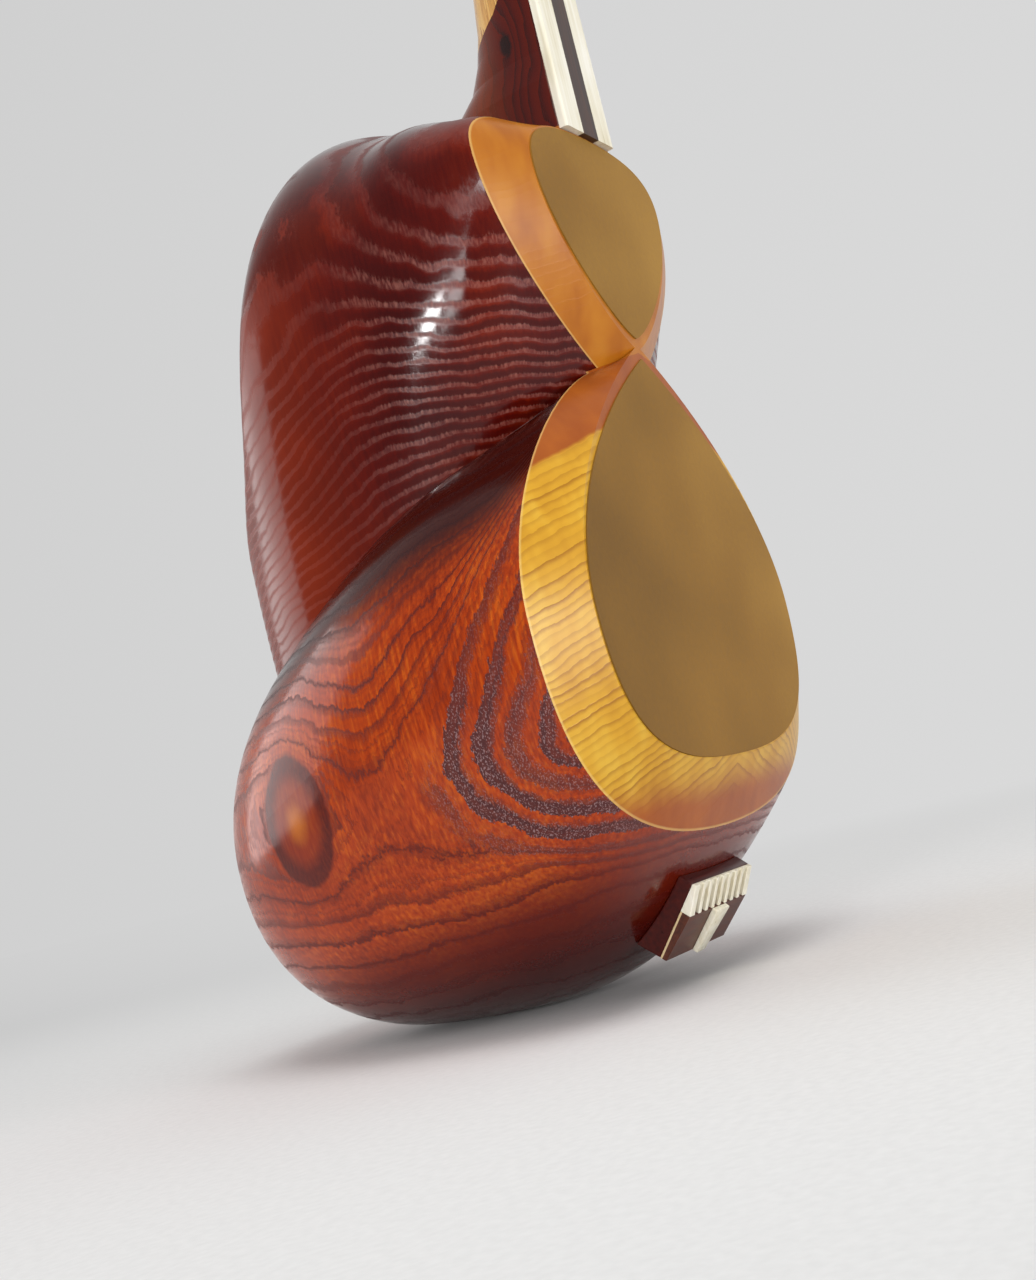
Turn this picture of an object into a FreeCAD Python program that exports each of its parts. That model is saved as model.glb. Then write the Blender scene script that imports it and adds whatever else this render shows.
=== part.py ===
import FreeCAD, Part
import math
import os
from FreeCAD import Vector

# Persian tar: a plucked lute with two carved mulberry bowls, skin faces,
# a long neck with tied gut frets, and a pegbox with six pegs.
# Frame: millimetres, +Z up along the neck, the skins face -Y, X runs across.
# The origin is where the bridge stands, on the middle line of the lower skin.

doc = FreeCAD.newDocument("persian_tar")
sheet = doc.addObject("Spreadsheet::Sheet", "dims")
# Face: two skins whose tips nearly meet at the waist
waist_height = 108.0
skin_thickness = 0.6
skin_border = 0.8
lower_skin_half_width = 84.5
lower_skin_top_drop = 2.5
lower_skin_widest_drop = 96.0
lower_skin_bottom_drop = 151.5
upper_skin_half_width = 50.5
upper_skin_bottom_rise = 5.4
upper_skin_widest_rise = 63.3
upper_skin_top_gap = 0.8
neck_seat_rise = 84.0
# Rim: the sloped wooden border around the skins
rim_width = 25.0
lower_rim_depth = 12.0
upper_rim_depth = 10.0
lower_rim_top_drop = 3.0
lower_rim_bottom_drop = 175.3
upper_rim_top_rise = 85.1
upper_rim_widest_rise = 66.9
upper_rim_bottom_drop = 15.0
waist_flat = 3.0
rim_wall = 11.0
skin_land = 6.0
tip_land = 14.0
# Lower bowl
lower_bowl_half_width = 111.2
lower_bowl_depth = 207.1
lower_bowl_widest_depth = 47.6
lower_bowl_axis_drop = 102.8
lower_bowl_rise = 80.3
lower_bowl_fall = 110.0
lower_bowl_belly_drop = 1.7
# Upper bowl
upper_bowl_half_width = 84.0
upper_bowl_depth = 176.1
upper_bowl_widest_depth = 94.6
upper_bowl_axis_drop = 36.3
upper_bowl_rise = 151.6
upper_bowl_fall = 136.0
upper_bowl_belly_drop = -90.0
bowl_wall = 7.0
neck_block = 36.0
upper_opening_half_width = 31.0
upper_opening_top_rise = 50.0
upper_opening_widest_rise = 38.0
upper_opening_bottom_rise = 18.0
upper_room_half_width = 55.0
upper_room_widest_rise = 45.0
upper_room_bottom_rise = 5.0
# Neck
string_length = 660.0
board_width_low = 38.0
board_width_high = 30.0
board_raise = 2.0
board_thickness = 3.3
board_middle_low = 12.0
board_middle_high = 9.5
board_edge_round = 1.3
neck_side = 5.0
neck_back_low = 30.5
neck_back_high = 25.0
foot_width = 40.0
foot_back = 55.0
foot_height = 20.0
foot_gap = 0.3
flare_low_height = 31.0
flare_low_back = 41.5
flare_middle_height = 41.0
flare_middle_back = 36.0
flare_high_height = 52.0
flare_high_back = 32.6
flare_top_height = 67.0
tenon_width = 26.0
tenon_thickness = 22.0
tenon_length = 16.0
tenon_setback = 7.0
glue_gap = 0.05
scarf_back_height = 46.0
scarf_bend_height = 53.0
scarf_bend_depth = 17.5
scarf_shoulder_height = 62.0
scarf_shoulder_depth = 8.8
scarf_tip_height = 138.0
scarf_tip_thickness = 1.0
# Nut
nut_length = 5.0
nut_rise = 1.6
nut_round = 1.0
nut_slot_width = 0.8
nut_slot_depth = 0.9
course_spread = 9.4
pair_spread = 2.6
# Frets
fret_width = 2.4
fret_thickness = 0.9
fret_clearance = 0.2
# Pegbox and head
head_length = 168.0
head_width_high = 42.0
head_back_high = 36.0
head_edge_round = 4.0
head_root = 12.0
channel_start = 10.0
channel_length = 138.0
channel_width_low = 17.0
channel_width_high = 25.0
channel_depth = 18.5
cap_thickness = 4.0
cap_overhang = 1.5
cap_round = 1.2
# Pegs
first_peg = 25.0
peg_spacing = 20.0
peg_axis_depth = 10.5
peg_large_radius = 4.4
peg_taper_drop = 0.9
peg_clearance = 0.06
peg_end_stand = 3.0
peg_end_round = 0.8
peg_collar_gap = 5.0
peg_collar_radius = 6.2
peg_collar_length = 2.4
peg_waist_radius = 3.6
peg_waist_length = 3.0
peg_head_radius = 11.5
peg_head_length = 24.0
peg_button_radius = 2.6
peg_button_length = 4.0
peg_hole_radius = 0.8
# Tailpiece
tail_width = 52.0
tail_length = 29.8
tail_top_depth = 18.4
tail_top_drop = 192.1
comb_length = 11.0
comb_thickness_top = 1.6
comb_thickness_foot = 4.2
comb_floor = 1.0
comb_rib_width = 2.4
comb_groove_width = 3.4
plate_thickness = 4.0
plate_tip_thickness = 2.6
tongue_width = 12.0
tongue_tip_width = 7.0
tongue_thickness = 2.2
tail_block_depth = 24.0
tail_block_spread = 0.5
tail_block_gap = 0.2
overrun = 1.0

# Every size above goes into the sheet under its own name
sizes = [(alias, value) for alias, value in list(globals().items()) if isinstance(value, float)]
for row, (alias, value) in enumerate(sizes, 1):
    sheet.set("A%d" % row, alias)
    sheet.set("B%d" % row, str(value))
    sheet.setAlias("B%d" % row, alias)
doc.recompute()

# Shares of curves, chosen by eye from the outlines
# each outline: tangent lengths at the top, above and below the widest place, at the bottom
lower_skin_handle_shares = (0.44, 0.44, 0.85, 0.64)
lower_rim_handle_shares = (0.36, 0.47, 0.73, 0.70)
upper_skin_handle_shares = (0.71, 0.70, 0.43, 0.26)
upper_rim_handle_shares = (0.29, 1.18, 0.38, 0.38)
upper_room_handle_shares = (0.48, 0.49, 0.38, 0.38)
lower_bowl_handle_shares = (0.72, 0.57, 0.60, 0.56)
upper_bowl_handle_shares = (0.50, 0.42, 0.62, 0.54)
# leaving angles of the outlines at their tips, in degrees off level
lower_skin_tip_angle = 28.0
lower_rim_tip_angle = -2.0
upper_skin_tip_angle = 13.0
upper_rim_tip_angle = 22.0
# how the bowls close towards the back: steps along the depth, fullness and lean
lower_depth_step_shares = (0.0, 0.4, 0.65, 0.82, 0.92, 0.975, 0.995)
upper_depth_step_shares = (0.0, 0.4, 0.65, 0.82, 0.92, 0.97, 0.99)
lower_belly_step_shares = (0.5,)
upper_belly_step_shares = (0.1, 0.25, 0.45, 0.7)
lower_belly_power_share = 1.33
upper_belly_power_share = 1.75
lower_fullness_share = 2.2
upper_fullness_share = 1.83
upper_fall_fullness_share = 2.56
lower_lean_share = -0.34
upper_lean_share = -1.04
quarter_round_share = 0.5523
# the tied frets, each as the octaves that it stands above the open string
fret_octave_shares = (0.075, 0.1125, 0.1708, 0.2458, 0.2875, 0.3375, 0.4125, 0.4542,
                      0.4917, 0.525, 0.5833, 0.6583, 0.7, 0.7542, 0.825, 0.8667,
                      0.9167, 1.0, 1.075, 1.1167, 1.1708, 1.2417)
peg_bulb_shares = (0.30, 0.62)
comb_grooves = 8
head_tilt_angle = 12.0
tail_tilt_angle = 39.6


def size(alias):
    return float(sheet.get(alias))


def waist_up(alias):
    """Height of a place measured up from the waist."""
    return size("waist_height") + size(alias)


def waist_down(alias):
    return size("waist_height") - size(alias)


def origin_plane(body, role):
    for feature in body.Origin.OriginFeatures:
        if feature.Role == role:
            return feature


def new_body(label):
    body = doc.addObject("PartDesign::Body", label + "_body")
    body.Label = label
    return body


def new_sketch(body, name, role, offset=None):
    """A sketch on an origin plane, moved along the plane's normal by a sheet expression."""
    sketch = body.newObject("Sketcher::SketchObject", name)
    sketch.AttachmentSupport = (origin_plane(body, role), [""])
    sketch.MapMode = "FlatFace"
    if offset is not None:
        sketch.setExpression("AttachmentOffset.Base.z", offset)
    return sketch


def polygon(sketch, points):
    """Closed straight-sided outline from (x, y) pairs."""
    corners = [Vector(px, py, 0) for px, py in points]
    for start, end in zip(corners, corners[1:] + corners[:1]):
        sketch.addGeometry(Part.LineSegment(start, end), False)


def arch(start, start_handle, end_handle, end):
    """One smooth curve from its two ends and its two tangent handles."""
    curve = Part.BezierCurve()
    curve.setPoles([Vector(px, py, 0) for px, py in (start, start_handle, end_handle, end)])
    return curve.toBSpline()


def rounded_outline(sketch, half_width, top, widest, bottom, shares, tip_top=0.0, tip_bottom=0.0):
    """A closed outline, alike left and right: four arches that meet at the top, the
    widest places and the bottom. A tip angle makes a heart-like point there."""
    top_share, above_share, below_share, bottom_share = shares
    above = above_share * (widest - top)
    below = below_share * (bottom - widest)
    top_run = top_share * half_width
    bottom_run = bottom_share * half_width
    down = math.radians(tip_top)
    lift = math.radians(tip_bottom)
    for side in (1, -1):
        upper = ((0, top),
                 (side * top_run * math.cos(down), top - top_run * math.sin(down)),
                 (side * half_width, widest - above),
                 (side * half_width, widest))
        lower = ((side * half_width, widest),
                 (side * half_width, widest + below),
                 (side * bottom_run * math.cos(lift), bottom + bottom_run * math.sin(lift)),
                 (0, bottom))
        if side == 1:
            sketch.addGeometry(arch(*upper), False)
            sketch.addGeometry(arch(*lower), False)
        else:
            sketch.addGeometry(arch(*reversed(lower)), False)
            sketch.addGeometry(arch(*reversed(upper)), False)


def add_loft(body, name, sketches, ruled=False):
    feature = body.newObject("PartDesign::AdditiveLoft", name)
    feature.Profile = sketches[0]
    feature.Sections = sketches[1:]
    feature.Ruled = ruled
    return feature


def add_pad(body, name, sketch, length, reverse=False, middle=False):
    feature = body.newObject("PartDesign::Pad", name)
    feature.Profile = sketch
    feature.setExpression("Length", length)
    feature.Reversed = reverse
    feature.Midplane = middle
    return feature


def add_pocket(body, name, sketch, length, middle=False):
    feature = body.newObject("PartDesign::Pocket", name)
    feature.Profile = sketch
    feature.setExpression("Length", length)
    feature.Midplane = middle
    return feature


def add_fillet(body, name, radius, test):
    """Round the edges of the body's last feature whose both ends pass the test."""
    base = body.Tip
    doc.recompute()
    names = []
    for number, edge in enumerate(base.Shape.Edges):
        if all(test(vertex.Point) for vertex in edge.Vertexes):
            names.append("Edge%d" % (number + 1))
    feature = body.newObject("PartDesign::Fillet", name)
    feature.Base = (base, names)
    feature.setExpression("Radius", radius)
    return feature


def near(value, goal):
    return abs(value - goal) < 0.05 * size("overrun")


def fuse(name, shapes):
    feature = doc.addObject("Part::MultiFuse", name)
    feature.Shapes = shapes
    return feature


def cut(name, base, tool):
    feature = doc.addObject("Part::Cut", name)
    feature.Base = base
    feature.Tool = tool
    return feature


def common(name, base, tool):
    feature = doc.addObject("Part::Common", name)
    feature.Base = base
    feature.Tool = tool
    return feature


nodes = []


def keep(feature, label):
    """Name a finished sub-part and keep it for the export."""
    feature.Label = label
    nodes.append(feature)
    return feature


def bowl_form(label, side, inset, rim_inset, tip_inset, block, front):
    """One bowl as a closed form: a straight-sided rim, then a round back.
    inset shrinks the round part and rim_inset the rim, which makes the hollow."""
    body = new_body(label)
    waist = size("waist_height")
    rim = size("rim_width")
    land = size("skin_land") if rim_inset else -size("skin_border")
    widest_depth = size(side + "_bowl_widest_depth")
    rim_depth = size(side + "_rim_depth")
    axis = waist_down(side + "_bowl_axis_drop")
    rise = size(side + "_bowl_rise") - (block or inset)
    fall = size(side + "_bowl_fall") - inset
    belly = size(side + "_bowl_belly_drop")
    half = size(side + "_bowl_half_width") - inset
    reach = size(side + "_bowl_depth") - inset - widest_depth

    face = new_sketch(body, label + "_face", "XZ_Plane", "-(%s)" % front)
    edge = new_sketch(body, label + "_edge", "XZ_Plane", "-dims.%s_rim_depth" % side)
    if side == "lower":
        shares = lower_bowl_handle_shares
        fullness = lower_fullness_share
        fall_fullness = lower_fullness_share
        depth_steps = lower_depth_step_shares
        lean = lower_lean_share
        steps = lower_belly_step_shares
        power = lower_belly_power_share
        rounded_outline(face, size("lower_skin_half_width") - land,
                        waist + size("waist_flat") - tip_inset,
                        waist_down("lower_skin_widest_drop"),
                        waist_down("lower_skin_bottom_drop") + land,
                        lower_skin_handle_shares, tip_top=lower_skin_tip_angle)
        rim_row = (size("lower_skin_half_width") + rim - rim_inset,
                   waist_down("lower_rim_top_drop") - rim_inset,
                   waist_down("lower_skin_widest_drop"),
                   waist_down("lower_rim_bottom_drop") + rim_inset)
        rim_row = rim_row + lower_rim_handle_shares + (lower_rim_tip_angle, 0.0)
    else:
        shares = upper_bowl_handle_shares
        fullness = upper_fullness_share
        fall_fullness = upper_fall_fullness_share
        depth_steps = upper_depth_step_shares
        lean = upper_lean_share
        steps = upper_belly_step_shares
        power = upper_belly_power_share
        if block:
            rounded_outline(face, size("upper_opening_half_width"), waist_up("upper_opening_top_rise"),
                            waist_up("upper_opening_widest_rise"), waist_up("upper_opening_bottom_rise"),
                            upper_bowl_handle_shares)
            rim_row = (size("upper_room_half_width"), waist_up("upper_opening_top_rise"),
                       waist_up("upper_room_widest_rise"), waist_up("upper_room_bottom_rise"))
            rim_row = rim_row + upper_room_handle_shares + (0.0, 0.0)
        else:
            rounded_outline(face, size("upper_skin_half_width") - land, waist_up("neck_seat_rise"),
                            waist_up("upper_skin_widest_rise"), waist + size("waist_flat") / 3,
                            upper_skin_handle_shares, tip_bottom=upper_skin_tip_angle)
            rim_row = (size("upper_skin_half_width") + rim, waist_up("upper_rim_top_rise"),
                       waist_up("upper_rim_widest_rise"), waist_down("upper_rim_bottom_drop"))
            rim_row = rim_row + upper_rim_handle_shares + (0.0, upper_rim_tip_angle)
    rounded_outline(edge, *rim_row[:4], rim_row[4:8], rim_row[8], rim_row[9])

    sections = [edge]
    belly_row = (half, axis + rise, axis - belly, axis - fall) + shares + (0.0, 0.0)
    for number, step_share in enumerate(steps):
        blend = 1 - (1 - step_share) ** power
        row = [low + blend * (high - low) for low, high in zip(rim_row, belly_row)]
        depth = "dims.{0}_rim_depth + {1} * (dims.{0}_bowl_widest_depth - dims.{0}_rim_depth)"
        depth = depth.format(side, step_share)
        ring = new_sketch(body, "%s_belly_%d" % (label, number), "XZ_Plane", "-(%s)" % depth)
        rounded_outline(ring, *row[:4], row[4:8], row[8], row[9])
        sections.append(ring)
    for number, step_share in enumerate(depth_steps):
        depth = "dims.{0}_bowl_widest_depth + {1} * (dims.{0}_bowl_depth - {2} - dims.{0}_bowl_widest_depth)"
        depth = depth.format(side, step_share, inset)
        ring = new_sketch(body, "%s_ring_%d" % (label, number), "XZ_Plane", "-(%s)" % depth)
        grow = (1 - step_share ** fullness) ** (1 / fullness)
        grow_down = (1 - step_share ** fall_fullness) ** (1 / fall_fullness)
        middle = axis + lean * step_share * reach
        rounded_outline(ring, grow * half, middle + grow * rise, middle - grow * belly,
                        middle - grow_down * fall, shares)
        sections.append(ring)
    add_loft(body, label + "_rim", [face, edge], ruled=True)
    add_loft(body, label + "_back", sections)
    doc.recompute()
    return body


# Bowls: two halves carved from mulberry, glued on the middle line
outer_forms = []
for side in ("lower", "upper"):
    outer_forms.append(bowl_form(side + "_outer", side, 0.0, 0.0, 0.0, 0.0, "dims.skin_thickness"))
bowls_outside = fuse("bowls_outside", outer_forms)
inner_forms = []
for side in ("lower", "upper"):
    block = size("neck_block") if side == "upper" else 0.0
    inner_forms.append(bowl_form(side + "_hollow", side, size("bowl_wall"), size("rim_wall"),
                                 size("tip_land"), block, "-dims.overrun"))
bowls_inside = fuse("bowls_inside", inner_forms)
bowls_shell = cut("bowls_shell", bowls_outside, bowls_inside)

# Neck form: a foot on the body, a flare, then a slim tapering shaft
seat = waist_up("neck_seat_rise")
board_back = size("board_thickness") - size("board_raise")
board_back_text = "(dims.board_thickness - dims.board_raise)"
seat_text = "(dims.waist_height + dims.neck_seat_rise)"
neck_top = size("string_length") + size("nut_length")


def board_half(height, low="board_width_low", high="board_width_high"):
    """Half the width of the fingerboard at a height, on its straight taper."""
    share = (height - seat) / (size("string_length") - seat)
    return (size(low) + share * (size(high) - size(low))) / 2


def neck_outline(sketch, half, front, back, side):
    """Cross-section of the neck: flat in front, half an ellipse behind."""
    turn = front + side
    handle = quarter_round_share * (back - turn)
    across = quarter_round_share * half
    sketch.addGeometry(Part.LineSegment(Vector(half, front, 0), Vector(-half, front, 0)), False)
    sketch.addGeometry(Part.LineSegment(Vector(-half, front, 0), Vector(-half, turn, 0)), False)
    sketch.addGeometry(arch((-half, turn), (-half, turn + handle), (-across, back), (0, back)), False)
    sketch.addGeometry(arch((0, back), (across, back), (half, turn + handle), (half, turn)), False)
    sketch.addGeometry(Part.LineSegment(Vector(half, turn, 0), Vector(half, front, 0)), False)


neck_form = new_body("neck_form")
foot = new_sketch(neck_form, "neck_foot_outline", "XY_Plane", seat_text)
neck_outline(foot, size("foot_width") / 2, board_back, size("foot_back"), size("neck_side"))
flare = [new_sketch(neck_form, "neck_flare_foot", "XY_Plane", seat_text + " + dims.foot_height")]
neck_outline(flare[0], size("foot_width") / 2, board_back, size("foot_back"), size("neck_side"))
for level in ("low", "middle", "high", "top"):
    height = seat + size("flare_%s_height" % level)
    back = size("neck_back_low") if level == "top" else size("flare_%s_back" % level)
    ring = new_sketch(neck_form, "neck_flare_" + level, "XY_Plane",
                      "%s + dims.flare_%s_height" % (seat_text, level))
    neck_outline(ring, board_half(height), board_back, back, size("neck_side"))
    flare.append(ring)
shaft_end = new_sketch(neck_form, "neck_shaft_end", "XY_Plane", "dims.string_length + dims.nut_length")
neck_outline(shaft_end, board_half(neck_top), board_back, size("neck_back_high"), size("neck_side"))
add_pad(neck_form, "neck_foot", foot, "dims.foot_height")
add_loft(neck_form, "neck_flare", flare, ruled=True)
add_loft(neck_form, "neck_taper", [flare[-1], shaft_end], ruled=True)
tenon = new_sketch(neck_form, "neck_tenon_outline", "XY_Plane", seat_text)
tenon_half = size("tenon_width") / 2
tenon_front = board_back + size("tenon_setback")
tenon_back = tenon_front + size("tenon_thickness")
polygon(tenon, ((-tenon_half, tenon_front), (tenon_half, tenon_front),
                (tenon_half, tenon_back), (-tenon_half, tenon_back)))
add_pad(neck_form, "neck_tenon", tenon, "dims.tenon_length", reverse=True)

# Pocket in the bowls for the neck's foot and tenon
neck_pocket = new_body("neck_pocket")
gap = size("foot_gap")
foot_room = new_sketch(neck_pocket, "neck_pocket_outline", "XY_Plane", seat_text)
neck_outline(foot_room, size("foot_width") / 2 + gap, -size("overrun"), size("foot_back") + gap,
             board_back + size("overrun") + size("neck_side"))
add_pad(neck_pocket, "neck_foot_room", foot_room, "dims.flare_top_height")
gap = size("glue_gap")
tenon_room = new_sketch(neck_pocket, "tenon_pocket_outline", "XY_Plane", seat_text)
polygon(tenon_room, ((-tenon_half - gap, tenon_front - gap), (tenon_half + gap, tenon_front - gap),
                     (tenon_half + gap, tenon_back + gap), (-tenon_half - gap, tenon_back + gap)))
add_pad(neck_pocket, "tenon_room", tenon_room, "dims.tenon_length + dims.glue_gap", reverse=True)
bowls_carved = cut("bowls_carved", bowls_shell, neck_pocket)

for side, start in (("left", "-(dims.lower_bowl_half_width + dims.overrun)"), ("right", "0")):
    half_space = doc.addObject("Part::Box", "half_space_" + side)
    half_space.setExpression("Length", "dims.lower_bowl_half_width + dims.overrun")
    half_space.setExpression("Width", "dims.lower_bowl_depth + 2 * dims.overrun")
    half_space.setExpression("Height", "2 * dims.lower_bowl_depth")
    half_space.setExpression("Placement.Base.x", start)
    half_space.setExpression("Placement.Base.y", "-dims.overrun")
    half_space.setExpression("Placement.Base.z", "-0.8 * dims.lower_bowl_depth")
    keep(common("bowl_%s" % side, bowls_carved, half_space), "bowl_" + side)

# Skins: thin lamb membranes glued on the flat of each rim
for side in ("lower", "upper"):
    skin = new_body(side + "_skin")
    outline = new_sketch(skin, side + "_skin_outline", "XZ_Plane", "0")
    if side == "lower":
        rounded_outline(outline, size("lower_skin_half_width"), waist_down("lower_skin_top_drop"),
                        waist_down("lower_skin_widest_drop"), waist_down("lower_skin_bottom_drop"),
                        lower_skin_handle_shares, tip_top=lower_skin_tip_angle)
    else:
        rounded_outline(outline, size("upper_skin_half_width"), seat - size("upper_skin_top_gap"),
                        waist_up("upper_skin_widest_rise"), waist_up("upper_skin_bottom_rise"),
                        upper_skin_handle_shares, tip_bottom=upper_skin_tip_angle)
    add_pad(skin, side + "_skin_sheet", outline, "dims.skin_thickness", reverse=True)
    keep(skin, side + "_skin")

# Scarf joint: the light shaft laps over the dark heel, whose tip runs up under the board
scarf = new_body("scarf_tool")
scarf_side = new_sketch(scarf, "scarf_profile", "YZ_Plane")
tip = seat + size("scarf_tip_height")
far_back = size("foot_back") + size("overrun")
above = neck_top + size("overrun")
polygon(scarf_side, ((board_back - size("overrun"), above),
                     (board_back - size("overrun"), tip),
                     (board_back + size("scarf_tip_thickness"), tip),
                     (size("scarf_shoulder_depth"), seat + size("scarf_shoulder_height")),
                     (size("scarf_bend_depth"), seat + size("scarf_bend_height")),
                     (size("neck_back_low"), seat + size("scarf_back_height")),
                     (far_back, seat + size("scarf_back_height")),
                     (far_back, above)))
add_pad(scarf, "scarf_room", scarf_side, "2 * dims.foot_width", middle=True)
keep(cut("neck_heel", neck_form, scarf), "neck_heel")
keep(common("neck_shaft", neck_form, scarf), "neck_shaft")

# Fingerboard: two bone strips with a dark strip between them
top = size("string_length")
middle_low = board_half(seat, "board_middle_low", "board_middle_high")
middle_high = board_half(top, "board_middle_low", "board_middle_high")
for label, way in (("bone_strip_left", -1), ("fingerboard_middle", 0), ("bone_strip_right", 1)):
    strip = new_body(label)
    outline = new_sketch(strip, label + "_outline", "XZ_Plane", "-" + board_back_text)
    if way:
        polygon(outline, ((way * middle_low, seat), (way * board_half(seat), seat),
                          (way * board_half(top), top), (way * middle_high, top)))
    else:
        polygon(outline, ((-middle_low, seat), (middle_low, seat),
                          (middle_high, top), (-middle_high, top)))
    add_pad(strip, label + "_plate", outline, "dims.board_thickness")
    if way:
        add_fillet(strip, label + "_edge", "dims.board_edge_round",
                   lambda point: near(point.y, -size("board_raise"))
                   and (near(abs(point.x), board_half(seat)) or near(abs(point.x), board_half(top))))
    keep(strip, label)

# Nut: a bone bar with three pairs of string slots
nut = new_body("nut")
nut_half = board_half(top)
nut_front = size("board_raise") + size("nut_rise")
nut_foot = new_sketch(nut, "nut_outline", "XZ_Plane", "-" + board_back_text)
polygon(nut_foot, ((-nut_half, top), (nut_half, top), (nut_half, neck_top), (-nut_half, neck_top)))
add_pad(nut, "nut_bar", nut_foot, "dims.board_thickness + dims.nut_rise")
add_fillet(nut, "nut_edge", "dims.nut_round",
           lambda point: near(point.y, -nut_front) and near(point.z, neck_top))
slots = new_sketch(nut, "nut_slot_outline", "XZ_Plane", "dims.board_raise + dims.nut_rise")
string_places = []
for course in (-1, 0, 1):
    for pair in (-1, 1):
        string_places.append(course * size("course_spread") + pair * size("pair_spread") / 2)
for place in string_places:
    left = place - size("nut_slot_width") / 2
    right = place + size("nut_slot_width") / 2
    low = top - size("overrun")
    high = neck_top + size("overrun")
    polygon(slots, ((left, low), (right, low), (right, high), (left, high)))
add_pocket(nut, "nut_slots", slots, "dims.nut_slot_depth")
keep(nut, "nut")

# Pegbox: drawn upright, then tilted back about the front edge of the neck's end
tilt = FreeCAD.Rotation(Vector(1, 0, 0), -head_tilt_angle)
head_place = FreeCAD.Placement(Vector(0, board_back, neck_top), tilt)
lean = math.cos(math.radians(head_tilt_angle))
head_back_low = (size("neck_back_high") - board_back) * lean
head_half_low = board_half(neck_top)
head_half_high = size("head_width_high") / 2


def head_half(height):
    share = height / size("head_length")
    return head_half_low + share * (head_half_high - head_half_low)


def rounded_box(sketch, half, front, back, corner):
    """Rectangle with four rounded corners, drawn with the same edges at every level."""
    handle = corner * (1 - quarter_round_share)
    rows = (((half - corner, front), (half - handle, front), (half, front + handle), (half, front + corner)),
            ((half, back - corner), (half, back - handle), (half - handle, back), (half - corner, back)),
            ((corner - half, back), (handle - half, back), (-half, back - handle), (-half, back - corner)),
            ((-half, front + corner), (-half, front + handle), (handle - half, front), (corner - half, front)))
    for row, following in zip(rows, rows[1:] + rows[:1]):
        sketch.addGeometry(arch(*row), False)
        sketch.addGeometry(Part.LineSegment(Vector(*row[3], 0), Vector(*following[0], 0)), False)


pegbox_form = new_body("pegbox_form")
root = size("head_root")
slope = (size("head_back_high") - head_back_low) / size("head_length")
low_end = new_sketch(pegbox_form, "pegbox_low", "XY_Plane", "-dims.head_root")
rounded_box(low_end, head_half(-root), 0, head_back_low - root * slope, size("head_edge_round"))
high_end = new_sketch(pegbox_form, "pegbox_high", "XY_Plane", "dims.head_length")
rounded_box(high_end, head_half_high, 0, size("head_back_high"), size("head_edge_round"))
add_loft(pegbox_form, "pegbox_block", [low_end, high_end], ruled=True)
channel = new_sketch(pegbox_form, "channel_outline", "XZ_Plane", "0")
start = size("channel_start")
end = start + size("channel_length")
low_half = size("channel_width_low") / 2
high_half = size("channel_width_high") / 2
polygon(channel, ((-low_half, start), (low_half, start), (high_half, end), (-high_half, end)))
add_pocket(pegbox_form, "channel", channel, "dims.channel_depth")
pegbox_form.Placement = head_place

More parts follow.
